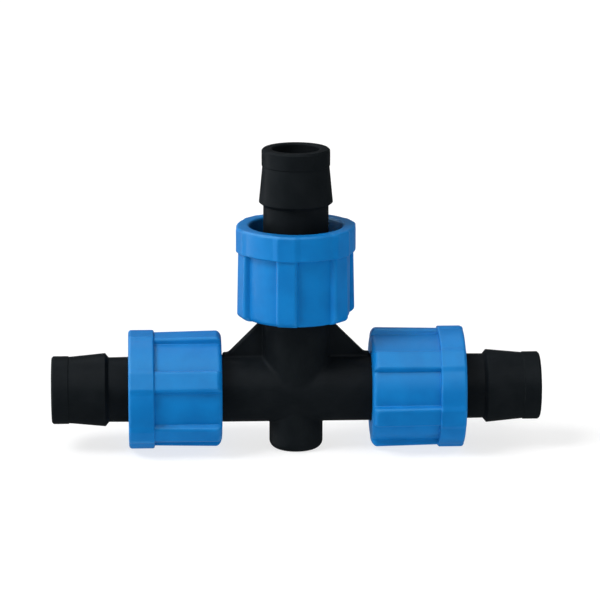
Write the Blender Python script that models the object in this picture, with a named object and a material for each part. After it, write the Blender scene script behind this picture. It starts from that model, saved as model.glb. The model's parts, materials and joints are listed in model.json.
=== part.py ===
"""Locking tee for 16 mm drip tape: a one-piece moulded body and three captive lock nuts.

Frame: metres, +X along the run, +Z up along the branch, the origin at the middle of the
foot's flat underside.  Each arm is drawn upright, with its distance from the crossing of
the run and the branch along its own +Z, and is then turned to its place.
"""
import math

import bmesh
import bpy
from mathutils import Matrix, Vector

MM = 0.001

# Body: run, branch and foot
RUN_HEIGHT = 14.2 * MM        # run axis above the foot's underside
RUN_RADIUS = 7.75 * MM        # outside of the run at the crossing
BRANCH_RADIUS = 7.65 * MM     # the branch leaves the run slightly slimmer than the run
NECK_RADIUS = 7.5 * MM        # every neck tapers to this just behind its barb
FOOT_RADIUS = 6.2 * MM
FOOT_ROUND = 1.9 * MM         # rounding of the foot's lower edge
FOOT_FLOOR = 2.2 * MM         # wall left below the well inside the foot
WELL_RADIUS = 4.0 * MM

# Barbed spigot, measured outwards from the crossing
LAND_END = 17.0 * MM          # end of the web's low land, where a lock nut stops
SHOULDER_START = 43.4 * MM    # back shoulder rises from the neck
BARB_START = 44.2 * MM        # widest ring, which holds the tape
BARB_RADIUS = 8.5 * MM
CONE_END = 52.6 * MM
CONE_RADIUS = 7.7 * MM
COLLAR_STEP = 0.1 * MM        # length of the small step out to the tip collar
COLLAR_RADIUS = 7.87 * MM
TIP = 56.6 * MM
TIP_CHAMFER = 0.4 * MM
BORE_TIP_RADIUS = 5.5 * MM    # waterway at the tips, drafted inwards
RUN_BORE_RADIUS = 5.4 * MM    # waterway of the run at the crossing
BRANCH_BORE_RADIUS = 5.3 * MM
BORE_CHAMFER = 0.25 * MM

# Gusset webs in the plane of the arms
WEB_THICKNESS = 2.4 * MM
LAND_HEIGHT = 8.5 * MM        # top of the low land above an arm's axis
WEB_REACH = 24.25 * MM        # where the 45 degree edge would meet either axis

# Lock nut, measured outwards from its inner end
NUT_GAP = 0.3 * MM            # between the nut's inner end and the web's land
NUT_LENGTH = 21.5 * MM
FLANGE_LENGTH = 5.9 * MM
PANEL_RADIUS = 12.4 * MM      # recessed panels between the ribs
FLANGE_RADIUS = 13.75 * MM
RIB_COUNT = 6
RIB_WIDTH = 4.8 * MM          # across a rib's flat top
RIB_FOOT_WIDTH = 5.0 * MM
RIB_HEIGHT = 13.5 * MM        # flat rib tops above the axis, beside the flange
RIB_INNER_HEIGHT = 13.8 * MM  # the ribs rise to this at the inner end
PAD_WIDTH = 4.0 * MM          # flats that carry the ribs across the flange
PAD_FOOT_WIDTH = 6.4 * MM     # where their sides run out into the round of the flange
PAD_HEIGHT = 14.0 * MM
PANEL_STEPS = 4               # facets across one panel
PANEL_ROUND = (1.0 * MM, 0.9 * MM)  # rounding of the inner end, along and across, at the panels
RIB_ROUND = (1.25 * MM, 1.9 * MM)   # and at the ribs
RIM_ROUND = 0.5 * MM          # rounding of the outside at the mouth
LIP_RADIUS = 8.05 * MM        # bore of the captive lip: passes the neck, not the barb
LIP_LENGTH = 2.0 * MM
LIP_CHAMFER = 0.3 * MM
ROOT_RADIUS = 10.25 * MM      # bore behind the grip thread
MOUTH_START = 16.5 * MM       # the bore opens from here to the mouth
MOUTH_RADIUS = 10.7 * MM
MOUTH_ROUND = 0.6 * MM

# Coarse thread inside the nut, which grips the tape
THREAD_START = 4.6 * MM       # middle of the first turn's start
THREAD_PITCH = 3.5 * MM
THREAD_TURNS = 3
THREAD_CREST = 8.8 * MM       # radius of the crest
THREAD_CREST_WIDTH = 0.6 * MM
THREAD_ROOT_WIDTH = 1.8 * MM
THREAD_SINK = 0.4 * MM        # how far the ridge is sunk into the wall

# Turns of the nuts' ribs about their axes
BRANCH_NUT_TURN = math.radians(-101.5)
LEFT_NUT_TURN = math.radians(-68.0)
RIGHT_NUT_TURN = math.radians(48.0)

ROUND_STEPS = 48
ROUND_ARC_STEPS = 5
SHARP_ANGLE = math.radians(30)

BLACK = (0.004, 0.005, 0.006, 1.0)
BLUE = (0.004, 0.150, 0.430, 1.0)


def clear_scene():
    for item in list(bpy.data.objects):
        bpy.data.objects.remove(item, do_unlink=True)


def plastic(name, colour, roughness):
    """A moulded plastic of one colour."""
    material = bpy.data.materials.new(name)
    material.use_nodes = True
    shader = material.node_tree.nodes["Principled BSDF"]
    shader.inputs["Base Color"].default_value = colour
    shader.inputs["Roughness"].default_value = roughness
    shader.inputs["Metallic"].default_value = 0.0
    return material


def new_object(name, bm, material=None, parent=None):
    """Puts a bmesh into the scene as a named object with outward faces."""
    bmesh.ops.recalc_face_normals(bm, faces=bm.faces)
    mesh = bpy.data.meshes.new(name)
    bm.to_mesh(mesh)
    bm.free()
    mesh.shade_smooth()
    mesh.set_sharp_from_angle(angle=SHARP_ANGLE)
    if material:
        mesh.materials.append(material)
    item = bpy.data.objects.new(name, mesh)
    bpy.context.collection.objects.link(item)
    item.parent = parent
    return item


def combine(target, tool, operation):
    """Joins a tool to the target or cuts it away, and leaves the tool as a hidden guide."""
    tool.hide_render = True
    tool.display_type = "WIRE"
    step = target.modifiers.new(tool.name, "BOOLEAN")
    step.operation = operation
    step.solver = "EXACT"
    step.object = tool


def turned(outline):
    """Spins (radius, height) points, listed from axis to axis, once round Z."""
    bm = bmesh.new()
    points = [bm.verts.new((radius, 0.0, height)) for radius, height in outline]
    edges = [bm.edges.new(pair) for pair in zip(points, points[1:])]
    bmesh.ops.spin(bm, geom=points + edges, cent=(0, 0, 0), axis=(0, 0, 1),
                   angle=math.tau, steps=ROUND_STEPS, use_merge=True)
    bmesh.ops.remove_doubles(bm, verts=bm.verts, dist=0.001 * MM)
    return bm


def quarter_round(radius, height, size, start):
    """Points of a quarter circle of the given size round (radius, height), from start on."""
    angles = [start + step * math.pi / 2 / ROUND_ARC_STEPS for step in range(ROUND_ARC_STEPS + 1)]
    return [(radius + size * math.cos(angle), height + size * math.sin(angle)) for angle in angles]


def spigot_outline(root_radius):
    """Outside of one arm from the crossing to the middle of its tip."""
    return [
        (root_radius, 0.0),
        (root_radius, LAND_END),
        (NECK_RADIUS, SHOULDER_START),
        (BARB_RADIUS, BARB_START),
        (CONE_RADIUS, CONE_END),
        (COLLAR_RADIUS, CONE_END + COLLAR_STEP),
        (COLLAR_RADIUS, TIP - TIP_CHAMFER),
        (COLLAR_RADIUS - TIP_CHAMFER, TIP),
        (0.0, TIP),
    ]


def bore_outline(root_radius):
    """Waterway of one arm from the crossing to beyond its tip."""
    beyond = BORE_CHAMFER
    return [
        (root_radius, 0.0),
        (BORE_TIP_RADIUS, TIP - BORE_CHAMFER),
        (BORE_TIP_RADIUS + BORE_CHAMFER + beyond, TIP + beyond),
        (0.0, TIP + beyond),
    ]


def both_ways(outline):
    """The outline of one arm with its mirror image below it."""
    below = [(radius, -height) for radius, height in reversed(outline)]
    return below + outline[1:]


def web_plate():
    """Flat plate between the arms: two 45 degree gussets and the low lands beside them."""
    slope_foot = WEB_REACH - LAND_HEIGHT
    right = [
        (LAND_END, 0.0),
        (LAND_END, LAND_HEIGHT),
        (slope_foot, LAND_HEIGHT),
        (LAND_HEIGHT, slope_foot),
        (LAND_HEIGHT, LAND_END),
    ]
    left = [(-across, up) for across, up in reversed(right)]
    bm = bmesh.new()
    front = [bm.verts.new((across, -WEB_THICKNESS / 2, up)) for across, up in right + left]
    face = bm.faces.new(front)
    made = bmesh.ops.extrude_face_region(bm, geom=[face])
    back = [item for item in made["geom"] if isinstance(item, bmesh.types.BMVert)]
    bmesh.ops.translate(bm, verts=back, vec=(0.0, WEB_THICKNESS, 0.0))
    return bm


def build_body(centre, material):
    """Run, branch, foot and webs in one piece, with the waterways cut through."""
    along_run = Matrix.Rotation(math.pi / 2, 4, "Y")

    outside = turned(both_ways(spigot_outline(RUN_RADIUS)))
    outside.transform(along_run)
    body = new_object("tee_body", outside, material, centre)

    foot = quarter_round(FOOT_RADIUS - FOOT_ROUND, FOOT_ROUND - RUN_HEIGHT, FOOT_ROUND, -math.pi / 2)
    branch = turned([(0.0, -RUN_HEIGHT)] + foot + [(FOOT_RADIUS, 0.0)] + spigot_outline(BRANCH_RADIUS))
    combine(body, new_object("branch_and_foot", branch, parent=centre), "UNION")
    combine(body, new_object("web_plate", web_plate(), parent=centre), "UNION")

    run_bore = turned(both_ways(bore_outline(RUN_BORE_RADIUS)))
    run_bore.transform(along_run)
    combine(body, new_object("run_waterway", run_bore, parent=centre), "DIFFERENCE")

    well_floor = FOOT_FLOOR - RUN_HEIGHT
    well = [(0.0, well_floor), (WELL_RADIUS, well_floor), (WELL_RADIUS, 0.0)]
    branch_bore = turned(well + bore_outline(BRANCH_BORE_RADIUS))
    combine(body, new_object("branch_waterway", branch_bore, parent=centre), "DIFFERENCE")
    return body


def ribbed_ring(height, radius, flat_height, flat_width, foot_width):
    """Points round the nut's outside: a flat on each rib and an arc of the radius between."""
    flat = (flat_height, flat_width / 2)
    middle = (flat_height, 0.0)
    foot = (math.sqrt(radius**2 - foot_width**2 / 4), foot_width / 2)
    foot_angle = math.asin(foot_width / 2 / radius)
    panel = math.tau / RIB_COUNT - 2 * foot_angle
    points = []
    for rib in range(RIB_COUNT):
        turn = Matrix.Rotation(rib * math.tau / RIB_COUNT, 4, "Z")
        for (out, across), side in ((foot, -1), (flat, -1), (middle, 1), (flat, 1), (foot, 1)):
            points.append(turn @ Vector((out, side * across, height)))
        for step in range(1, PANEL_STEPS):
            angle = foot_angle + step * panel / PANEL_STEPS
            points.append(turn @ Vector((radius * math.cos(angle), radius * math.sin(angle), height)))
    return points


def round_ring(height, radius, like):
    """Points of a circle at the same angles as the ring it is to be joined with."""
    directions = [Vector((point.x, point.y, 0.0)).normalized() for point in like]
    return [direction * radius + Vector((0.0, 0.0, height)) for direction in directions]


def end_inset(height, size):
    """How deep a rounding of the inner end, a quarter of an ellipse, cuts in at a height."""
    along, across = size
    share = min(height / along, 1.0)
    return across * (1 - math.sqrt(1 - (1 - share) ** 2))


def body_ring(height, rib_height):
    """Points round the ribbed part, which is rounded in towards its inner end."""
    panel = PANEL_RADIUS - end_inset(height, PANEL_ROUND)
    rib = rib_height - end_inset(height, RIB_ROUND)
    return ribbed_ring(height, panel, rib, RIB_WIDTH, RIB_FOOT_WIDTH)


def flange_ring(height, inset=0.0):
    return ribbed_ring(height, FLANGE_RADIUS - inset, PAD_HEIGHT - inset, PAD_WIDTH, PAD_FOOT_WIDTH)


def build_nut_shell():
    """The nut without its thread: rings up the outside, then down the bore, joined in turn."""
    flange_start = NUT_LENGTH - FLANGE_LENGTH
    rings = []
    for step in range(ROUND_ARC_STEPS + 1):
        height = RIB_ROUND[0] * (1 - math.cos(step * math.pi / 2 / ROUND_ARC_STEPS))
        rings.append(body_ring(height, RIB_INNER_HEIGHT))
    rings.append(body_ring(flange_start, RIB_HEIGHT))
    rings.append(flange_ring(flange_start))
    rings.append(flange_ring(NUT_LENGTH - RIM_ROUND))
    rings.append(flange_ring(NUT_LENGTH, RIM_ROUND))
    bore = [
        (NUT_LENGTH, MOUTH_RADIUS + MOUTH_ROUND),
        (NUT_LENGTH - MOUTH_ROUND * 0.3, MOUTH_RADIUS + MOUTH_ROUND * 0.3),
        (NUT_LENGTH - MOUTH_ROUND, MOUTH_RADIUS),
        (MOUTH_START, ROOT_RADIUS),
        (LIP_LENGTH, ROOT_RADIUS),
        (LIP_LENGTH, LIP_RADIUS + LIP_CHAMFER),
        (LIP_LENGTH - LIP_CHAMFER, LIP_RADIUS),
        (LIP_CHAMFER, LIP_RADIUS),
        (0.0, LIP_RADIUS + LIP_CHAMFER),
    ]
    rings += [round_ring(height, radius, rings[0]) for height, radius in bore]

    bm = bmesh.new()
    loops = []
    for ring in rings:
        corners = [bm.verts.new(point) for point in ring]
        loops.append(list(zip(corners, corners[1:] + corners[:1])))
    for lower, upper in zip(loops, loops[1:] + loops[:1]):
        for (first, second), (third, fourth) in zip(lower, upper):
            bm.faces.new((first, second, fourth, third))
    return bm


def build_grip_thread():
    """A helical ridge with a flat crest, fading into the wall at both ends."""
    steps = THREAD_TURNS * ROUND_STEPS
    section = [
        (ROOT_RADIUS + THREAD_SINK, -THREAD_ROOT_WIDTH / 2),
        (ROOT_RADIUS + THREAD_SINK, THREAD_ROOT_WIDTH / 2),
        (THREAD_CREST, THREAD_CREST_WIDTH / 2),
        (THREAD_CREST, -THREAD_CREST_WIDTH / 2),
    ]
    bm = bmesh.new()
    previous = None
    for step in range(steps + 1):
        turns = step / ROUND_STEPS
        fade = min(1.0, 3 * turns, 3 * (THREAD_TURNS - turns))
        around = Matrix.Rotation(math.tau * turns, 4, "Z")
        middle = THREAD_START + THREAD_PITCH * turns
        corners = []
        for radius, height in section:
            sunk = ROOT_RADIUS + THREAD_SINK / 2
            out = radius if radius > ROOT_RADIUS else sunk + (radius - sunk) * fade
            corners.append(bm.verts.new(around @ Vector((out, 0.0, middle + height))))
        if previous:
            for side in range(4):
                follow = (side + 1) % 4
                bm.faces.new((previous[side], previous[follow], corners[follow], corners[side]))
        else:
            bm.faces.new(corners)
        previous = corners
    bm.faces.new(reversed(previous))
    return bm


def build_nut(arm_name, centre, direction, turn, material):
    """One lock nut on the empty that marks its arm."""
    arm = bpy.data.objects.new(f"{arm_name}_arm", None)
    bpy.context.collection.objects.link(arm)
    arm.parent = centre
    arm.rotation_mode = "QUATERNION"
    arm.rotation_quaternion = Vector((0, 0, 1)).rotation_difference(direction)

    nut = new_object(f"{arm_name}_lock_nut", build_nut_shell(), material, arm)
    nut.location.z = LAND_END + NUT_GAP
    nut.rotation_euler.z = turn
    combine(nut, new_object(f"{arm_name}_grip_thread", build_grip_thread(), parent=nut), "UNION")


def main():
    clear_scene()
    centre = bpy.data.objects.new("crossing", None)
    bpy.context.collection.objects.link(centre)
    centre.location.z = RUN_HEIGHT

    build_body(centre, plastic("black_body", BLACK, 0.42))
    build_nut("left", centre, Vector((-1, 0, 0)), LEFT_NUT_TURN, plastic("blue_left_nut", BLUE, 0.36))
    build_nut("right", centre, Vector((1, 0, 0)), RIGHT_NUT_TURN, plastic("blue_right_nut", BLUE, 0.36))
    build_nut("branch", centre, Vector((0, 0, 1)), BRANCH_NUT_TURN, plastic("blue_branch_nut", BLUE, 0.36))


main()
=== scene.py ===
"""Looks of the locking tee for drip tape: a moulded black body and three blue lock nuts.

The meshes are worked out in millimetres from the crossing of the run and the branch, and
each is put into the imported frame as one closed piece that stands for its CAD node.
"""

import itertools
import json
import math

import bmesh
import bpy
import numpy as np
from mathutils import Matrix, Vector


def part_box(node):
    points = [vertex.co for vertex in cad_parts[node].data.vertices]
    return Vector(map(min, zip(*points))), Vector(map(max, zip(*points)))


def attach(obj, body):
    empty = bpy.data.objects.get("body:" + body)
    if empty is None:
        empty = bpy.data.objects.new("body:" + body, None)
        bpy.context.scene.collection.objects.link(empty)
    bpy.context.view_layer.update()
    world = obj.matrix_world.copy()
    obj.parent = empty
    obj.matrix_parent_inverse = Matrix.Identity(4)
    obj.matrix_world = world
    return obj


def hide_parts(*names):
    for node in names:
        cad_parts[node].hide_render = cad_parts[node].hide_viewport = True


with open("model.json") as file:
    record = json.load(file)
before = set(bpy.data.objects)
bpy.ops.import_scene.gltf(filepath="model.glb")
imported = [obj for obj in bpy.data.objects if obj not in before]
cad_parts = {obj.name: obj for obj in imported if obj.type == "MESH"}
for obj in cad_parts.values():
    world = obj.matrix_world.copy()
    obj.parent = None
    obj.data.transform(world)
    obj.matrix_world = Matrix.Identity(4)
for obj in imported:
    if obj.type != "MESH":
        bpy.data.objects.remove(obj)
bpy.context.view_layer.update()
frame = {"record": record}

MM = 0.001
TAU = math.tau
QUARTER = math.pi / 2
AXES = range(3)

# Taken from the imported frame
mounts = {mount["name"]: Vector(mount["pos_m"]) for mount in frame["record"]["mounts"]}
crossing = Vector((0, 0, mounts["left_spigot_end"].z))
run_height = crossing.z / MM

# Body, in mm from the crossing
RUN_RADIUS = 7.75
BRANCH_RADIUS = 7.65
NECK_RADIUS = 7.5
FOOT_RADIUS = 6.2
FOOT_ROUND = 1.9
FOOT_FLOOR = 2.2              # wall below the well inside the foot
WELL_RADIUS = 4.0
WELL_ROUND = 0.5
LAND_END = 17.0
LAND_HEIGHT = 8.5
WEB_REACH = 24.25             # where the 45 degree slopes would meet the arms' axes
WEB_HALF = 1.2
WEB_EDGE = 0.35               # rounding of the web's edges
WEB_CORNER = 0.4              # softening where a slope meets the lands
TUBE_FILLET = 0.7
WEB_FILLET = 0.5
FOOT_FILLET = 0.45
RUN_BORE = 5.4
BRANCH_BORE = 5.3
TIP_BORE = 5.5
BORE_FILLET = 0.3

# Spigot, measured outwards from the crossing: (along, radius, rounding)
SPIGOT = [
    (43.4, NECK_RADIUS, 0.2),
    (44.2, 8.5, 0.16),
    (52.6, 7.7, 0.12),
    (52.75, 7.87, 0.1),
    (56.2, 7.87, 0.3),
]
TIP_EDGE = (7.47, 0.3)        # radius and rounding of the tip's outer edge
BORE_EDGE = (5.75, 0.25)      # the same for the waterway's mouth
BORE_CHAMFER = 0.25           # how deep the mouth's chamfer goes
BORE_CHAMFER_ROUND = 0.15     # rounding at its inner end

# Mesh of the body
HUB_END = 17.8                # the moulded crossing ends here
ARM_START = 18.2              # and the plain arms begin here
HUB_REACH = 8.2               # how far the crossing's grid goes to the front and back
BORE_REACH = 5.8              # and the waterways' grid
GRID_MARGIN = 0.5
HUB_CELL = 0.25
BORE_CELL = 0.4
ARM_COLUMNS = 112
ARM_STRETCH = 1.3             # longest face along an arm

# Lock nut, measured outwards from its inner end
RIB_COUNT = 6
PANEL_RADIUS = 12.4           # recessed panels between the ribs
RIB_WIDTH = 4.8               # across a rib's flat top
RIB_FOOT_WIDTH = 5.0
RIB_EDGE = 0.75               # rounding of a rib's top edges
RIB_FILLET = 0.25             # and of the corners at its foot
RIB_TAPER = (0.4, 0.3, 0.21)  # how fast width, foot width and edge shrink as the end rounds in
RIB_INNER_HEIGHT = 13.8       # the flat rib tops above the axis at the inner end
RIB_OUTER_HEIGHT = 13.5       # and beside the flange
PANEL_END = (1.0, 0.9)        # rounding at the inner end, along and across, of the panels
RIB_END = (1.4, 2.15)         # and of the ribs
FLANGE_LENGTH = 5.9
FLANGE_RADIUS = 13.75
PAD_HEIGHT = 14.0             # flats that carry the ribs across the flange
PAD_WIDTH = 4.0
PAD_FOOT_WIDTH = 6.4
PAD_TAPER = 0.3               # how fast a flat's width shrinks as the rim rounds in
PAD_EDGE = 1.5
PAD_FILLET = 2.5
RIM_ROUND = 0.7
STEP_ROUND = (0.4, 0.6)       # of the flange's edge: its size, at most this share of the step
STEP_FOOT = (0.18, 0.3)       # and of the corner below it
END_SHARE = 0.45              # where the inner end's middle ring lies between ribs and lip
LIP_RADIUS = 8.05
LIP_LENGTH = 2.0
LIP_ROUND = 0.3
LIP_SEAT = 0.8                # the inner end's flat starts this far outside the lip's bore
LIP_CORNER = 0.35             # fillet behind the lip
LIP_CLEAR = 0.5               # the thread's rows stop this far from the lip
LIP_STRETCH = 0.9             # longest face over the lip
ROOT_RADIUS = 10.25           # bore behind the grip thread
BORE_TOP = 15.9               # last of the thread's rows
MOUTH_START = 16.5            # the bore opens from here to the mouth
MOUTH_BEND = 1.5              # rounding where it begins to open
MOUTH_RADIUS = 10.82
MOUTH_ROUND = 0.65
MOUTH_EDGE = 11.5             # inner end of the rim's flat face
RIM_MIDDLE = 11.75            # and a ring across it

# Grip thread inside the nut
THREAD_START = 4.6
THREAD_PITCH = 3.5
THREAD_TURNS = 3
THREAD_FADE = 3               # the thread rises to its full height over a third of a turn
THREAD_CREST = 8.8
THREAD_CREST_HALF = 0.3
THREAD_ROOT_HALF = 0.9
THREAD_SOFT = 0.18            # softness of its corners, as a share of the flank
THREAD_TRIM = 0.004           # the softened rise is cut by this much at both ends
THREAD_ROW = 0.13

# Faces across the parts of the nut's outline, and rows of them along it
EDGE_STEPS = 7
FILLET_STEPS = 6
PANEL_STEPS = 8
END_ROWS = 11
RIB_ROWS = 16
STEP_FOOT_ROWS = 5
STEP_ROWS = 7
FLANGE_ROWS = 7
RIM_ROWS = 6
MOUTH_ROWS = 6
LIP_ROWS = 5

DIRECTIONS = {"left": Vector((-1, 0, 0)), "right": Vector((1, 0, 0)), "branch": Vector((0, 0, 1))}
NUT_TURNS = {"left": -68.0, "right": 48.0, "branch": -101.5}

# Colours of the two plastics
BLUE_DEEP = (0.0003, 0.142, 0.432, 1)
BLUE_PALE = (0.0008, 0.168, 0.490, 1)
BLUE_GRAIN = (0.03, 0.24, 0.56, 1)
# Pale edges: partly wear, partly a painted highlight along convex edges
BLUE_WEAR_AND_HIGHLIGHT = (0.06, 0.28, 0.60, 1)
# Painted shade: the dark blue laid into hollows and corners
BLUE_PAINTED_SHADE = (0.0002, 0.060, 0.24, 1)
BLACK_DEEP = (0.0060, 0.0078, 0.0092, 1)
BLACK_PALE = (0.0078, 0.0098, 0.0114, 1)
BLACK_WORN = (0.010, 0.012, 0.013, 1)

# Patterns in them, per mm
BLUE_FLOW = 0.16
BLACK_FLOW = 0.2
GRAIN = 5.0
WEAR = 1.1
SMEAR = 0.9

# The part of a noise's range that a pattern uses
MIDDLE = (0.35, 0.65)
WIDE = (0.3, 0.7)

# Reliefs: slow waves per mm and their height in mm, and the height of the grain
BLUE_WAVE = (0.35, 0.06)
BLUE_RELIEF = 0.012
BLACK_WAVE = (0.4, 0.05)
BLACK_RELIEF = 0.010
SEAM = (0.06, 0.16, 0.035, 0)  # parting line: half its top, half its foot, and their heights

# Colour by pointiness: from and to, and the colour's share at each. Blue's pale edges are partly wear,
# partly painted highlight; its dark corners are painted shade. Black's pale edges are wear
BLUE_EDGE_WEAR_AND_HIGHLIGHT = (0.515, 0.56, 0.0, 0.40)
BLUE_PAINTED_CORNER_SHADE = (0.44, 0.488, 0.8, 0.0)
BLACK_EDGES = (0.52, 0.57, 0.0, 0.5)

# Roughness, from the flow marks and from what wear adds
BLUE_ROUGHNESS = (0.38, 0.46)
BLUE_WEAR = (-0.04, 0.05)
BLACK_ROUGHNESS = (0.36, 0.44)
BLACK_WEAR = (-0.04, 0.06)

# Camera, from the crossing
CAMERA_AZIMUTH = -2.368
CAMERA_ELEVATION = 15.118
CAMERA_DISTANCE = 0.7999
CAMERA_LENS = 206.5
CAMERA_SENSOR = 36.0
CAMERA_CLIP = (0.05, 20.0)
AIM_RIGHT = 0.95 * MM
AIM_UP = 20.33 * MM

# Lights: name, azimuth, elevation, spread, strength, and the kind of ray that it is hidden from
LIGHTS = [
    ("key_light", -62, 50, 28, 0.80, None),
    ("fill_light", 60, 20, 90, 0.34, "visible_glossy"),
    ("side_sheen", -84, 8, 90, 4.6, "visible_diffuse"),
    ("back_sheen", -130, 62, 60, 1.6, "visible_diffuse"),
    ("top_sheen", -14, 52, 70, 3.0, "visible_diffuse"),
]
WORLD_STRENGTH = 0.20

FLOOR_HALF = 4.0              # half the floor's side, in m
FLOOR_GREY = 0.3
FLOOR_GLOW = 0.74             # light of its own, which keeps the shadows pale
FLOOR_ROUGHNESS = 0.9


# ---------------------------------------------------------------- shapes of the body

def unit(vector):
    return vector / np.linalg.norm(vector)


def polar(angle):
    return np.array((math.cos(angle), math.sin(angle)))


def arc(centre, first, last, shares):
    """Points round a centre, the short way from one of two offsets to the other."""
    start = math.atan2(first[1], first[0])
    turn = (math.atan2(last[1], last[0]) - start + math.pi) % TAU - math.pi
    size = np.linalg.norm(first)
    return [centre + size * polar(start + share * turn) for share in shares]


def rounded(corners, steps=4):
    """Turns (along, radius, rounding) corners into a line with an arc at each rounded corner."""
    points = []
    for index, (along, radius, size) in enumerate(corners):
        here = np.array((along, radius), float)
        if not size or index in (0, len(corners) - 1):
            points.append(here)
            continue
        back = unit(np.array(corners[index - 1][:2]) - here)
        on = unit(np.array(corners[index + 1][:2]) - here)
        half = math.acos(np.clip(back @ on, -1, 1)) / 2
        centre = here + unit(back + on) * size / math.sin(half)
        reach = size / math.tan(half)
        first, last = here + back * reach - centre, here + on * reach - centre
        points += arc(centre, first, last, np.linspace(0, 1, steps + 1))
    return points


def filled(points, longest):
    """Adds points to a line so that no stretch of it is longer than the given length."""
    line = [points[0]]
    for start, end in itertools.pairwise(points):
        count = max(1, math.ceil(np.linalg.norm(end - start) / longest))
        line += [start + (end - start) * step / count for step in range(1, count + 1)]
    return np.array(line)


def round_union(first, second, size):
    """Joins two distance fields with a fillet."""
    apart = np.hypot(np.maximum(size - first, 0), np.maximum(size - second, 0))
    return np.maximum(size, np.minimum(first, second)) - apart


def round_overlap(first, second, size):
    """The part that two distance fields share, with its edge rounded."""
    apart = np.hypot(np.maximum(size + first, 0), np.maximum(size + second, 0))
    return np.minimum(-size, np.maximum(first, second)) + apart


def fillet_size(size, first, second):
    """A fillet fades out where two surfaces run the same way, but never quite to nothing."""
    same = np.clip((first * second).sum(axis=1), 0, 1)
    return size * np.sqrt(1 - same**2) + 1e-4


def tube(points, along, radius):
    """Distance from a round tube through the crossing, and the direction away from its axis."""
    away = points.copy()
    away[:, along] = 0
    length = np.maximum(np.linalg.norm(away, axis=1), 1e-6)
    return length - radius, away / length[:, None]


def web_field(points):
    """The plate between the arms: two 45 degree gussets and the low lands beside them."""
    across, up = np.abs(points[:, 0]), points[:, 2]
    slope = (across + up - WEB_REACH) / math.sqrt(2)
    run_land = round_overlap(across - LAND_END, up - LAND_HEIGHT, WEB_EDGE)
    branch_land = round_overlap(across - LAND_HEIGHT, up - LAND_END, WEB_EDGE)
    plate = round_union(round_union(run_land, slope, WEB_CORNER), branch_land, WEB_CORNER)
    return np.maximum(round_overlap(plate, np.abs(points[:, 1]) - WEB_HALF, WEB_EDGE), -up)


def outer_field(points):
    """Distance from the outside of the crossing, below zero inside it."""
    run, run_way = tube(points, 0, RUN_RADIUS)
    branch, branch_way = tube(points, 2, BRANCH_RADIUS)
    branch = np.maximum(branch, -points[:, 2])
    foot, foot_way = tube(points, 2, FOOT_RADIUS)
    foot = round_overlap(foot, -points[:, 2] - run_height, FOOT_ROUND)
    solid = round_union(run, branch, fillet_size(TUBE_FILLET, run_way, branch_way))
    solid = round_union(solid, foot, fillet_size(FOOT_FILLET, run_way, foot_way))
    return round_union(solid, web_field(points), WEB_FILLET)


def bore_field(points):
    """Distance from the walls of the waterways and the well, below zero in the water."""
    run, run_way = tube(points, 0, RUN_BORE)
    branch, branch_way = tube(points, 2, BRANCH_BORE)
    branch = np.maximum(branch, -points[:, 2])
    well, well_way = tube(points, 2, WELL_RADIUS)
    well = round_overlap(well, -points[:, 2] - run_height + FOOT_FLOOR, WELL_ROUND)
    hollow = round_union(run, branch, fillet_size(BORE_FILLET, run_way, branch_way))
    return round_union(hollow, well, fillet_size(BORE_FILLET, run_way, well_way))


def settle(points, field, rounds=3):
    """Moves points straight onto the field's zero level."""
    step = 1e-3
    for _ in range(rounds):
        rises = [field(points + side) - field(points - side) for side in step * np.eye(3)]
        slope = np.stack(rises, axis=1) / (2 * step)
        points = points - (field(points) / (slope**2).sum(axis=1))[:, None] * slope
    return points


def surface_net(field, low, counts, cell):
    """Quads round a field's zero level on a grid of cells. The surface may leave the grid."""
    axes = [low[axis] + cell * np.arange(counts[axis] + 1) for axis in AXES]
    grid = np.stack(np.meshgrid(*axes, indexing="ij"), axis=-1)
    solid = field(grid.reshape(-1, 3)).reshape(grid.shape[:3]) < 0
    corners = sum(
        solid[i:i + counts[0], j:j + counts[1], k:k + counts[2]].astype(np.int8)
        for i, j, k in itertools.product((0, 1), repeat=3)
    )
    mixed = (corners > 0) & (corners < 8)
    number = np.full(mixed.shape, -1)
    number[mixed] = np.arange(mixed.sum())
    points = np.array(low) + (np.argwhere(mixed) + 0.5) * cell
    quads = []
    for axis in AXES:
        one, two = (axis + 1) % 3, (axis + 2) % 3
        ends = np.diff(solid.astype(np.int8), axis=axis)
        edges = np.argwhere(ends != 0)
        inside = (edges[:, one] > 0) & (edges[:, one] < counts[one])
        inside &= (edges[:, two] > 0) & (edges[:, two] < counts[two])
        edges = edges[inside]
        ring = []
        for back_one, back_two in ((0, 0), (1, 0), (1, 1), (0, 1)):
            place = edges.copy()
            place[:, one] -= back_one
            place[:, two] -= back_two
            ring.append(number[tuple(place.T)])
        ring = np.stack(ring, axis=1)
        flip = ends[tuple(edges.T)] > 0
        ring[flip] = ring[flip][:, ::-1]
        quads.append(ring)
    return points, np.concatenate(quads)


def totals(index, rows, count):
    """Sums of rows of three numbers by their index."""
    return np.stack([np.bincount(index, weights=rows[:, axis], minlength=count) for axis in AXES], axis=1)


def relaxed(points, quads, field, held, rounds=3):
    """Evens out the net's corners along the surface, and leaves the held ones where they are."""
    edges = np.concatenate([quads[:, [side, (side + 1) % 4]] for side in range(4)])
    edges = np.concatenate([edges, edges[:, ::-1]])
    degree = np.maximum(np.bincount(edges[:, 0], minlength=len(points)), 1)
    for _ in range(rounds):
        mean = totals(edges[:, 0], points[edges[:, 1]], len(points)) / degree[:, None]
        points = np.where(held[:, None], points, settle(mean, field, 1))
    return settle(points, field, 2)


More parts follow.
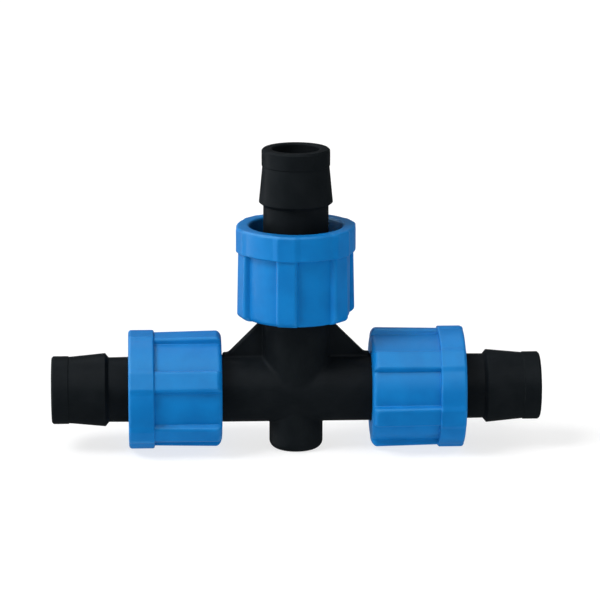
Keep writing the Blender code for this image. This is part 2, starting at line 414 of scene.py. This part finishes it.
def hub_net(field, cell, reach, inward):
    """The crossing's outside or its waterways, with its three open ends flat at HUB_END."""
    side = math.ceil(HUB_END / cell)
    across = math.ceil(reach / cell)
    down = math.ceil((run_height + GRID_MARGIN) / cell)
    low = (-side * cell, -across * cell, -down * cell)
    points, quads = surface_net(field, low, (2 * side, 2 * across, side + down), cell)
    last = (side - 1) * cell
    ends = [points[:, 0] < -last, points[:, 0] > last, points[:, 2] > last]
    held = ends[0] | ends[1] | ends[2]
    points = relaxed(settle(points, field), quads, field, held)
    for end, axis, sign in zip(ends, (0, 0, 2), (-1, 1, 1)):
        points[end, axis] = sign * HUB_END
    points[held] = settle(points[held], field, 1)
    if inward:
        quads = quads[:, ::-1]
    return points, quads, [np.flatnonzero(end) for end in ends]


def in_order(points, ring, one, two):
    """The ring's corners by their angle in the plane of two axes, with those angles."""
    angles = np.arctan2(points[ring, two], points[ring, one])
    order = np.argsort(angles)
    return ring[order], angles[order]


def zipped(first, first_angles, second, second_angles):
    """Triangles between two rings that have different counts."""
    faces = []
    one = two = 0
    while one < len(first) or two < len(second):
        next_one = first_angles[(one + 1) % len(first)] + TAU * ((one + 1) // len(first))
        next_two = second_angles[(two + 1) % len(second)] + TAU * ((two + 1) // len(second))
        here, there = first[one % len(first)], second[two % len(second)]
        if two >= len(second) or (one < len(first) and next_one <= next_two):
            faces.append((here, first[(one + 1) % len(first)], there))
            one += 1
        else:
            faces.append((here, second[(two + 1) % len(second)], there))
            two += 1
    return faces


def arm_rings(root_radius, root_bore, tip):
    """Outline of one arm: out along its outside, over the tip, and back down the bore."""
    outside = [(ARM_START, root_radius, 0)] + SPIGOT + [(tip, *TIP_EDGE), (tip, *BORE_EDGE)]
    bore = [(tip - BORE_CHAMFER, TIP_BORE, BORE_CHAMFER_ROUND), (ARM_START, root_bore, 0)]
    return filled(rounded(outside + bore), ARM_STRETCH)


def body_mesh(tip_run, tip_branch):
    """The whole body as one closed mesh, in mm from the crossing."""
    cell = HUB_CELL
    outer, outer_quads, outer_ends = hub_net(outer_field, cell, HUB_REACH, False)
    inner, inner_quads, inner_ends = hub_net(bore_field, BORE_CELL, BORE_REACH, True)
    points = [outer, inner]
    faces = outer_quads.tolist() + (inner_quads + len(outer)).tolist()
    hub = np.concatenate(points)
    total = len(hub)
    plans = [
        (0, -1, RUN_RADIUS, RUN_BORE, tip_run),
        (0, 1, RUN_RADIUS, RUN_BORE, tip_run),
        (2, 1, BRANCH_RADIUS, BRANCH_BORE, tip_branch),
    ]
    turn = np.arange(ARM_COLUMNS) * TAU / ARM_COLUMNS - math.pi
    for index, (axis, sign, root_radius, root_bore, tip) in enumerate(plans):
        one, two = (axis + 1) % 3, (axis + 2) % 3
        line = arm_rings(root_radius, root_bore, tip)
        arm = np.zeros((len(line), ARM_COLUMNS, 3))
        arm[:, :, axis] = sign * line[:, :1]
        arm[:, :, one] = line[:, 1:] * np.cos(turn)
        arm[:, :, two] = line[:, 1:] * np.sin(turn)
        number = total + np.arange(len(line) * ARM_COLUMNS).reshape(len(line), ARM_COLUMNS)
        beside = np.roll(number, -1, axis=1)
        quads = np.stack([number[:-1], beside[:-1], beside[1:], number[1:]], axis=-1)
        faces += quads.reshape(-1, 4).tolist()
        faces += zipped(*in_order(hub, outer_ends[index], one, two), number[0], turn)
        faces += zipped(*in_order(hub, inner_ends[index] + len(outer), one, two), number[-1], turn)
        points.append(arm.reshape(-1, 3))
        total += number.size
    return np.concatenate(points), faces


# ---------------------------------------------------------------- shapes of the nuts

def rib_outline(panel, height, width, foot_width, edge, foot_edge):
    """One sixth of the nut's outside seen from its end: a rib's flat top, its two softened
    sides, and the round panel up to the next rib."""
    top = np.array((height, width / 2))
    foot = np.array((math.sqrt(panel**2 - foot_width**2 / 4), foot_width / 2))
    way = unit(foot - top)
    out = np.array((-way[1], way[0]))
    if out[1] < 0:
        out = -out

    # Rounded corner between the flat top and the side
    corner_turn = math.acos(np.clip(way[1], -1, 1))
    start = width / 2 - edge * math.tan(corner_turn / 2)
    centre = np.array((height - edge, start))
    corner = [centre + edge * polar(angle) for angle in np.linspace(0, corner_turn, EDGE_STEPS)]

    # Fillet between the side and the panel: its centre is off the side and off the panel
    base = top + out * foot_edge
    dot = base @ way
    root = math.sqrt(dot**2 - base @ base + (panel + foot_edge) ** 2)
    middle = base - way * (dot + root)
    if middle[0] < 0 or (middle - top) @ way < 0:
        middle = base - way * (dot - root)
    touch_panel = unit(middle) * panel
    shares = np.linspace(0, 1, FILLET_STEPS)
    fillet = arc(middle, -out * foot_edge, touch_panel - middle, shares)

    half = [np.array((height, start * share)) for share in (0.0, 1 / 3, 2 / 3)]
    half += corner + [(corner[-1] + fillet[0]) / 2] + fillet
    begin = math.atan2(touch_panel[1], touch_panel[0])
    span = math.pi / RIB_COUNT - begin
    half += [panel * polar(begin + share * span) for share in np.linspace(0, 1, PANEL_STEPS)[1:]]
    half = np.array(half)
    mirrored = half[1:-1][::-1] * (1, -1)
    return np.concatenate([mirrored, half])


def rib_ring(height, *shape):
    """The nut's whole outline at a height."""
    sector = rib_outline(*shape)
    rings = []
    for rib in range(RIB_COUNT):
        cos, sin = polar(rib * TAU / RIB_COUNT)
        rings.append(sector @ np.array(((cos, sin), (-sin, cos))))
    return at(height, np.concatenate(rings))


def end_inset(height, size):
    """How far an elliptical rounding of the inner end lies inside at a height."""
    along, across = size
    share = min(height / along, 1.0)
    return across * (1 - math.sqrt(1 - (1 - share) ** 2))


def rib_section(height, flange_start):
    """Outline of the ribbed part, which is rounded in towards the inner end."""
    share = max(height - RIB_END[0], 0) / (flange_start - RIB_END[0])
    top = RIB_INNER_HEIGHT + (RIB_OUTER_HEIGHT - RIB_INNER_HEIGHT) * share
    inset = end_inset(height, RIB_END)
    width, foot, edge = (
        full - taper * inset for full, taper in zip((RIB_WIDTH, RIB_FOOT_WIDTH, RIB_EDGE), RIB_TAPER)
    )
    panel = PANEL_RADIUS - end_inset(height, PANEL_END)
    return rib_ring(height, panel, top - inset, width, foot, edge, RIB_FILLET)


def flange_section(height, inset=0.0):
    """Outline of the flange, with low flats that carry the ribs across it."""
    return rib_ring(height, FLANGE_RADIUS - inset, PAD_HEIGHT - inset, PAD_WIDTH - PAD_TAPER * inset,
                    PAD_FOOT_WIDTH, PAD_EDGE, PAD_FILLET)


def at(height, ring):
    return np.column_stack([ring, np.full(len(ring), height)])


def circle(height, radius, angles):
    return at(height, np.column_stack([radius * np.cos(angles), radius * np.sin(angles)]))


def angles_of(ring):
    return np.unwrap(np.arctan2(ring[:, 1], ring[:, 0]))


def smooth(share):
    share = np.clip(share, 0, 1)
    return share * share * (3 - 2 * share)


def thread_radius(angles, height):
    """Radius of the bore at a height, with the grip thread standing in it."""
    turns = angles / TAU
    best = np.full(len(angles), THREAD_PITCH)
    fade = np.zeros(len(angles))
    for lap in range(-1, THREAD_TURNS + 2):
        along = turns + lap
        distance = np.abs(height - THREAD_START - THREAD_PITCH * along)
        here = smooth(THREAD_FADE * along) * smooth(THREAD_FADE * (THREAD_TURNS - along))
        here = np.where((along > 0) & (along < THREAD_TURNS), here, 0)
        closer = (distance < best) & (here > 0)
        best = np.where(closer, distance, best)
        fade = np.where(closer, here, fade)
    flank = (THREAD_ROOT_HALF - best) / (THREAD_ROOT_HALF - THREAD_CREST_HALF)
    rise = 0.5 * (np.hypot(flank, THREAD_SOFT) - np.hypot(flank - 1, THREAD_SOFT) + 1)
    rise = np.clip((rise - THREAD_TRIM) / (1 - 2 * THREAD_TRIM), 0, 1)
    return ROOT_RADIUS - (ROOT_RADIUS - THREAD_CREST) * rise * fade


def step_rings(below, above):
    """Rings over the flange's back: a small fillet at its foot and a rounded edge above it."""
    step = above[:, :2] - below[:, :2]
    wide = np.linalg.norm(step, axis=1)[:, None]
    way = step / wide
    rings = []
    size = np.minimum(STEP_FOOT[0], STEP_FOOT[1] * wide)
    for angle in np.linspace(0, QUARTER, STEP_FOOT_ROWS):
        ring = below.copy()
        ring[:, :2] += way * size * (1 - math.cos(angle))
        ring[:, 2:] += size * (math.sin(angle) - 1)
        rings.append(ring)
    size = np.minimum(STEP_ROUND[0], STEP_ROUND[1] * wide)
    for angle in np.linspace(0, QUARTER, STEP_ROWS):
        ring = above.copy()
        ring[:, :2] -= way * size * (1 - math.sin(angle))
        ring[:, 2:] += size * (1 - math.cos(angle))
        rings.append(ring)
    return rings


def nut_outside(length):
    """Rings up the outside, from the inner end to the rounded rim."""
    start = length - FLANGE_LENGTH
    heights = [RIB_END[0] * (1 - math.sin(angle)) for angle in np.linspace(QUARTER, 0, END_ROWS)]
    heights += list(np.linspace(RIB_END[0], start - STEP_ROUND[0], RIB_ROWS)[1:-1])
    rings = [rib_section(height, start) for height in heights]
    rings += step_rings(rib_section(start, start), flange_section(start))
    heights = np.linspace(start + STEP_ROUND[0], length - RIM_ROUND, FLANGE_ROWS)[1:]
    rings += [flange_section(height) for height in heights]
    for angle in np.linspace(0, QUARTER, RIM_ROWS)[1:]:
        drop, inset = RIM_ROUND * (1 - math.sin(angle)), RIM_ROUND * (1 - math.cos(angle))
        rings.append(flange_section(length - drop, inset))
    return rings


def nut_bore(length, first, last):
    """Rings over the rim's face, down the bore with its thread, and round the lip."""
    outside, rim = angles_of(first), angles_of(last)
    even = outside[0] + np.arange(len(outside)) * TAU / len(outside)
    face = circle(length, RIM_MIDDLE, (rim + even) / 2)
    rings = [(last + face) / 2, face]
    mouth = rounded([
        (length, MOUTH_EDGE, 0),
        (length, MOUTH_RADIUS, MOUTH_ROUND),
        (MOUTH_START, ROOT_RADIUS, MOUTH_BEND),
        (BORE_TOP, ROOT_RADIUS, 0),
    ], MOUTH_ROWS)
    rings += [circle(height, radius, even) for height, radius in mouth]
    bottom = LIP_LENGTH + LIP_CLEAR
    rows = math.ceil((BORE_TOP - bottom) / THREAD_ROW)
    for height in np.linspace(BORE_TOP, bottom, rows + 1)[1:]:
        rings.append(circle(height, thread_radius(even, height), even))
    lip = rounded([
        (bottom, ROOT_RADIUS, 0),
        (LIP_LENGTH, ROOT_RADIUS, LIP_CORNER),
        (LIP_LENGTH, LIP_RADIUS, LIP_ROUND),
        (0.0, LIP_RADIUS, LIP_ROUND),
        (0.0, LIP_RADIUS + LIP_SEAT, 0),
    ], LIP_ROWS)[1:]
    rings += [circle(height, radius, even) for height, radius in filled(lip, LIP_STRETCH)]
    seat = circle(0.0, LIP_RADIUS + LIP_SEAT, outside)
    rings.append(first + (seat - first) * END_SHARE)
    return rings


def nut_mesh(length):
    """One nut as a closed mesh: rings up the outside, over the mouth, and down the bore."""
    rings = nut_outside(length)
    points = np.array(rings + nut_bore(length, rings[0], rings[-1]))
    number = np.arange(points.shape[0] * points.shape[1]).reshape(points.shape[:2])
    beside, above = np.roll(number, -1, axis=1), np.roll(number, -1, axis=0)
    across = np.roll(above, -1, axis=1)
    faces = np.stack([number, beside, across, above], axis=-1).reshape(-1, 4)
    return points.reshape(-1, 3), faces.tolist()


# ---------------------------------------------------------------- pieces

def values(items, name, kind=np.float32, width=1):
    """One property of a mesh's faces or corners as an array."""
    data = np.zeros(len(items) * width, kind)
    items.foreach_get(name, data)
    return data


def weighted_normals(mesh):
    """A normal for each point of a mesh, in which large faces count for more."""
    area = values(mesh.polygons, "area")
    facing = values(mesh.polygons, "normal", width=3).reshape(-1, 3)
    sides = values(mesh.polygons, "loop_total", np.int32)
    point = values(mesh.loops, "vertex_index", np.int32)
    normals = totals(point, np.repeat(facing * area[:, None], sides, axis=0), len(mesh.vertices))
    return normals / np.linalg.norm(normals, axis=1)[:, None]


def link(name, data):
    item = bpy.data.objects.new(name, data)
    bpy.context.scene.collection.objects.link(item)
    return item


def add_piece(name, points, faces, material, body, node):
    """Puts a closed mesh, in metres, into the scene as a piece that stands for a CAD node."""
    mesh = bpy.data.meshes.new(name)
    mesh.from_pydata(points.tolist(), [], faces)
    bm = bmesh.new()
    bm.from_mesh(mesh)
    bmesh.ops.recalc_face_normals(bm, faces=bm.faces)
    bm.to_mesh(mesh)
    bm.free()
    mesh.shade_smooth()
    mesh.normals_split_custom_set_from_vertices(weighted_normals(mesh).tolist())
    mesh.materials.append(material)
    piece = link(name, mesh)
    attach(piece, body)
    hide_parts(node)


# ---------------------------------------------------------------- materials

class Plastic:
    """A moulded plastic whose patterns are laid out in millimetres on the piece itself."""

    def __init__(self, name):
        self.material = bpy.data.materials.new(name)
        self.material.use_nodes = True
        self.tree = self.material.node_tree
        self.shader = self.tree.nodes["Principled BSDF"]
        self.place = self.scaled(self.add("ShaderNodeTexCoord").outputs["Object"], (1 / MM,) * 3)

    def add(self, kind, inputs=None, **settings):
        node = self.tree.nodes.new(kind)
        for name, value in settings.items():
            setattr(node, name, value)
        for name, value in (inputs or {}).items():
            self.feed(node.inputs[name], value)
        return node

    def feed(self, socket, value):
        if isinstance(value, bpy.types.NodeSocket):
            self.tree.links.new(value, socket)
        else:
            socket.default_value = value

    def scaled(self, place, factors):
        return self.add("ShaderNodeVectorMath", {0: place, 1: factors}, operation="MULTIPLY").outputs[0]

    def noise(self, per_mm, detail=2.0, stretch=(1, 1, 1), rough=0.5):
        return self.add("ShaderNodeTexNoise", {
            "Vector": self.scaled(self.place, stretch),
            "Scale": per_mm,
            "Detail": detail,
            "Roughness": rough,
        }).outputs["Fac"]

    def math(self, operation, first, second=0.0):
        return self.add("ShaderNodeMath", {0: first, 1: second}, operation=operation).outputs[0]

    def product(self, first, second):
        return self.math("MULTIPLY", first, second)

    def ramp(self, value, start, end, low, high):
        return self.add("ShaderNodeMapRange", {
            "Value": value,
            "From Min": start,
            "From Max": end,
            "To Min": low,
            "To Max": high,
        }).outputs["Result"]

    def mix(self, share, first, second):
        node = self.add("ShaderNodeMix", data_type="RGBA")
        self.feed(node.inputs["Factor"], share)
        colours = [socket for socket in node.inputs if socket.type == "RGBA"]
        self.feed(colours[0], first)
        self.feed(colours[1], second)
        return [socket for socket in node.outputs if socket.type == "RGBA"][0]

    def pointiness(self):
        return self.add("ShaderNodeNewGeometry").outputs["Pointiness"]

    def finish(self, colour, flow, roughness, marks, added):
        """Sets the colour, and a roughness that follows the flow marks and the wear."""
        self.feed(self.shader.inputs["Base Color"], colour)
        rough = self.math("ADD", self.ramp(flow, *WIDE, *roughness), self.ramp(*marks, *added))
        self.feed(self.shader.inputs["Roughness"], rough)

    def bump(self, heights):
        """Fine relief: heights in mm, each on top of the one before."""
        normal = None
        for height in heights:
            inputs = {"Height": height, "Distance": MM, "Strength": 1.0}
            if normal:
                inputs["Normal"] = normal
            normal = self.add("ShaderNodeBump", inputs).outputs["Normal"]
        self.feed(self.shader.inputs["Normal"], normal)


def blue_plastic():
    """Satin blue polypropylene: slow flow marks, pale edges that are partly wear and partly painted
    highlight, painted shade in the corners, and a spark-eroded grain.
    """
    made = Plastic("blue_pp")
    flow = made.noise(BLUE_FLOW, detail=3.0)
    grain = made.noise(GRAIN, detail=3.0, rough=0.6)
    wear = made.noise(WEAR, detail=4.0, rough=0.65)
    pointed = made.pointiness()
    colour = made.mix(made.ramp(flow, *MIDDLE, 0.0, 1.0), BLUE_DEEP, BLUE_PALE)
    colour = made.mix(made.ramp(grain, *WIDE, 0.0, 0.06), colour, BLUE_GRAIN)
    # Convex edges lightened by pointiness: partly wear, partly painted highlight
    edges = made.product(made.ramp(pointed, *BLUE_EDGE_WEAR_AND_HIGHLIGHT), made.ramp(wear, *WIDE, 0.5, 1.0))
    colour = made.mix(edges, colour, BLUE_WEAR_AND_HIGHLIGHT)
    # Painted shade: concave corners darkened by pointiness, a little less where the wear noise is high
    corners = made.product(made.ramp(pointed, *BLUE_PAINTED_CORNER_SHADE), made.ramp(wear, *WIDE, 1.0, 0.7))
    colour = made.mix(corners, colour, BLUE_PAINTED_SHADE)
    made.finish(colour, flow, BLUE_ROUGHNESS, (wear, *WIDE), BLUE_WEAR)
    made.shader.inputs["Specular IOR Level"].default_value = 0.1
    made.shader.inputs["Specular Tint"].default_value = (0.5, 0.95, 0.85, 1)
    made.bump([
        made.product(made.noise(BLUE_WAVE[0], detail=1.0), BLUE_WAVE[1]),
        made.product(grain, BLUE_RELIEF),
    ])
    return made.material


def black_plastic():
    """Satin black polypropylene with a fine grain and the mould's parting line round it."""
    made = Plastic("black_pp")
    flow = made.noise(BLACK_FLOW, detail=3.0)
    grain = made.noise(GRAIN, detail=3.0, rough=0.6)
    smear = made.noise(SMEAR, detail=4.0, stretch=(0.5, 1, 0.5), rough=0.65)
    colour = made.mix(made.ramp(flow, *MIDDLE, 0.0, 1.0), BLACK_DEEP, BLACK_PALE)
    colour = made.mix(made.ramp(made.pointiness(), *BLACK_EDGES), colour, BLACK_WORN)
    made.finish(colour, flow, BLACK_ROUGHNESS, (smear, *MIDDLE), BLACK_WEAR)
    made.shader.inputs["Specular IOR Level"].default_value = 0.006
    across = made.add("ShaderNodeSeparateXYZ", {0: made.place}).outputs["Y"]
    made.bump([
        made.ramp(made.math("ABSOLUTE", across), *SEAM),
        made.product(made.noise(BLACK_WAVE[0], detail=1.0), BLACK_WAVE[1]),
        made.product(grain, BLACK_RELIEF),
    ])
    return made.material


# ---------------------------------------------------------------- stage, lights and camera

def add_floor():
    mesh = bpy.data.meshes.new("floor")
    corners = [(-1, -1), (1, -1), (1, 1), (-1, 1)]
    mesh.from_pydata([(x * FLOOR_HALF, y * FLOOR_HALF, 0) for x, y in corners], [], [range(4)])
    material = bpy.data.materials.new("floor_paper")
    material.use_nodes = True
    shader = material.node_tree.nodes["Principled BSDF"]
    shader.inputs["Base Color"].default_value = (FLOOR_GREY, FLOOR_GREY, FLOOR_GREY, 1)
    shader.inputs["Roughness"].default_value = FLOOR_ROUGHNESS
    shader.inputs["Specular IOR Level"].default_value = 0.1
    shader.inputs["Emission Color"].default_value = (1, 1, 1, 1)
    shader.inputs["Emission Strength"].default_value = FLOOR_GLOW
    mesh.materials.append(material)
    floor = link("floor", mesh)
    floor.visible_glossy = False


def aim(item, place, target):
    item.location = place
    item.rotation_mode = "QUATERNION"
    item.rotation_quaternion = (target - place).to_track_quat("-Z", "Y")


def direction(azimuth, elevation):
    """From the object towards a viewer: azimuth 0 is in front of it, and 90 on its right."""
    azimuth, elevation = math.radians(azimuth), math.radians(elevation)
    level = math.cos(elevation)
    return Vector((math.sin(azimuth) * level, -math.cos(azimuth) * level, math.sin(elevation)))


def add_light(name, azimuth, elevation, spread, strength, hidden_from):
    """A soft light from far away. Its strength is the brightness that it gives white paper."""
    data = bpy.data.lights.new(name, "SUN")
    data.angle = math.radians(spread)
    data.energy = strength * math.pi
    light = link(name, data)
    aim(light, direction(azimuth, elevation), Vector())
    if hidden_from:
        setattr(light, hidden_from, False)


def add_camera():
    data = bpy.data.cameras.new("camera")
    data.sensor_width = CAMERA_SENSOR
    data.lens = CAMERA_LENS
    data.clip_start, data.clip_end = CAMERA_CLIP
    camera = link("camera", data)
    back = direction(CAMERA_AZIMUTH, CAMERA_ELEVATION)
    right = Vector((0, 0, 1)).cross(back).normalized()
    target = crossing + right * AIM_RIGHT + back.cross(right) * AIM_UP
    aim(camera, crossing + CAMERA_DISTANCE * back, target)
    bpy.context.scene.camera = camera


def set_world():
    world = bpy.data.worlds.new("studio")
    world.use_nodes = True
    backdrop = world.node_tree.nodes["Background"]
    backdrop.inputs["Color"].default_value = (1, 1, 1, 1)
    backdrop.inputs["Strength"].default_value = WORLD_STRENGTH
    bpy.context.scene.world = world


# ---------------------------------------------------------------- the scene

black, blue = black_plastic(), blue_plastic()

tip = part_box("tee_body")[1]
points, faces = body_mesh(tip.x / MM, (tip.z - crossing.z) / MM)
add_piece("body_moulding", points * MM + np.array(crossing), faces, black, "tee", "tee_body")

for arm, way in DIRECTIONS.items():
    node = f"{arm}_lock_nut"
    low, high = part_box(node)
    start, end = sorted((abs((low - crossing) @ way), abs((high - crossing) @ way)))
    points, faces = nut_mesh((end - start) / MM)
    spin = Matrix.Rotation(math.radians(NUT_TURNS[arm]), 3, "Z")
    turn = np.array(Vector((0, 0, 1)).rotation_difference(way).to_matrix() @ spin)
    points = points * MM @ turn.T + np.array(crossing + way * start)
    add_piece(f"{arm}_nut_moulding", points, faces, blue, f"{arm}_nut", node)

add_floor()
for light in LIGHTS:
    add_light(*light)
set_world()
add_camera()
bpy.context.scene.view_settings.view_transform = "Standard"
